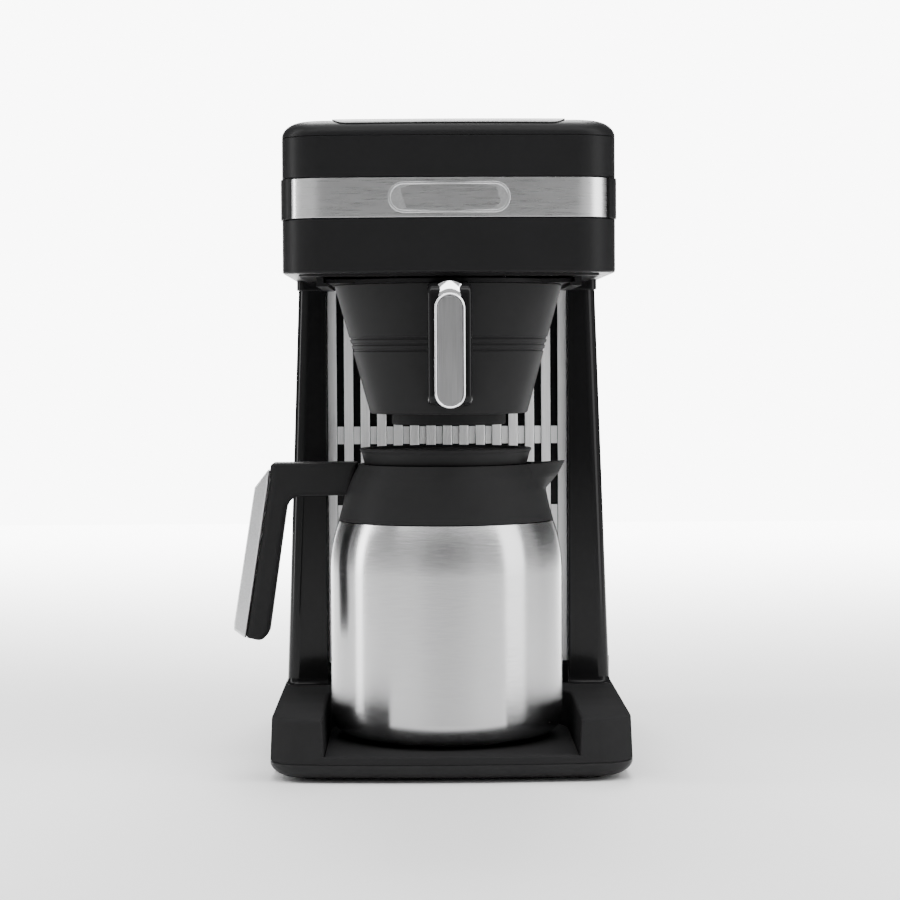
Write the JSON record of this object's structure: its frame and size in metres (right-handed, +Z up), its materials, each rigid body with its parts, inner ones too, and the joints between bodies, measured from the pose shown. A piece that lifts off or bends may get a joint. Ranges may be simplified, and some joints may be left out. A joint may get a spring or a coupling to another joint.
{
  "type": "drip coffee maker",
  "caption": "Black drip coffee maker with a hinged fill lid, slide-out brew funnel, rear water tank tower and a steel thermal carafe standing in the base's bay.",
  "frame": {"origin": "on the counter under the middle of the base's footprint, in the plane of the soles of the feet", "axes": "+Z up, -Y towards the front with the funnel grip and the carafe bay, +X to the right side with the power switch"},
  "size_m": [0.2324, 0.3498, 0.3765],
  "materials": {
    "gloss_black": "gloss",
    "satin_black": "satin",
    "grey_plastic": "satin",
    "silver_plastic": "satin",
    "stainless": "brushed",
    "chrome": "polished",
    "zinc": "plated",
    "brass": "plain",
    "rubber": "matt"
  },
  "bodies": {
    "housing": {"base_pan": "satin_black", "base_deck": "gloss_black", "drip_plate": "gloss_black", "feet": "rubber", "base_screws": "zinc", "pillar_left": "gloss_black", "pillar_right": "gloss_black", "tower_front": "gloss_black", "decor_grille": "stainless", "rear_cover": "satin_black", "rear_screws": "zinc", "cord_gland": "rubber", "switch_bezel": "satin_black", "tank": "stainless", "tank_gasket": "rubber", "tank_lid": "stainless", "tank_bracket": "zinc", "heating_element": "brass", "control_thermostat": "zinc", "limit_thermostat": "satin_black", "terminal_block": "grey_plastic", "fill_tube": "grey_plastic", "spray_tube": "grey_plastic", "spray_head": "satin_black", "spray_screws": "zinc", "neck_collar": "satin_black", "head_lower": "satin_black", "belt": "satin_black", "front_band": "stainless", "badge": "silver_plastic", "head_upper": "satin_black", "top_frame": "satin_black", "fill_basin": "satin_black", "valve_seat": "rubber", "funnel_rails": "satin_black", "hinge_pin": "zinc", "valve_guide": "satin_black", "valve_spring": "stainless"},
    "top_lid": {"fill_lid": "satin_black"},
    "plunger": {"valve_plunger": "silver_plastic"},
    "rocker": {"power_rocker": "satin_black"},
    "funnel": {"funnel_cone": "satin_black", "funnel_rim": "satin_black", "funnel_outlet": "satin_black", "funnel_handle": "gloss_black", "funnel_bezel": "chrome", "funnel_insert": "silver_plastic"},
    "carafe": {"carafe_shell": "stainless", "flask_bottom": "stainless", "flask_ring": "stainless", "carafe_liner": "stainless", "liner_neck": "stainless", "carafe_foot": "satin_black", "carafe_collar": "satin_black", "carafe_handle": "satin_black", "carafe_grip_cap": "silver_plastic", "handle_screws": "zinc"},
    "stopper": {"carafe_lid": "satin_black", "lid_seal": "rubber"},
    "stopper_valve": {"lid_valve": "satin_black"}
  },
  "joints": [
    {"name": "fill_lid_hinge", "type": "hinge", "parent": "housing", "child": "top_lid", "pos_m": [0, 0.0505, 0.3739], "axis": [-1, 0, 0], "range_deg": [0, 100]},
    {"name": "valve_plunger_slide", "type": "slide", "parent": "housing", "child": "plunger", "axis": [0, 0, 1], "range_m": [0, 0.006], "deforming": ["valve_spring"]},
    {"name": "power_rocker_tilt", "type": "hinge", "parent": "housing", "child": "rocker", "pos_m": [0.1004, 0.027, 0.0443], "axis": [0, 1, 0], "range_deg": [-18, 0]},
    {"name": "brew_funnel_slide", "type": "slide", "parent": "housing", "child": "funnel", "axis": [0, -1, 0], "range_m": [0, 0.18]},
    {"name": "carafe_slide", "type": "slide", "parent": "housing", "child": "carafe", "axis": [0, -1, 0], "range_m": [0, 0.2]},
    {"name": "carafe_lid_twist", "type": "hinge", "parent": "carafe", "child": "stopper", "pos_m": [-0.002, -0.084, 0.18], "axis": [0, 0, 1], "range_deg": [0, 75]},
    {"name": "lid_valve_slide", "type": "slide", "parent": "stopper", "child": "stopper_valve", "axis": [0, 0, 1], "range_m": [0, 0.0039]}
  ],
  "couplings": [
    {"joint": "valve_plunger_slide", "follows": "fill_lid_hinge", "m_per_rad": 0.00343}
  ]
}
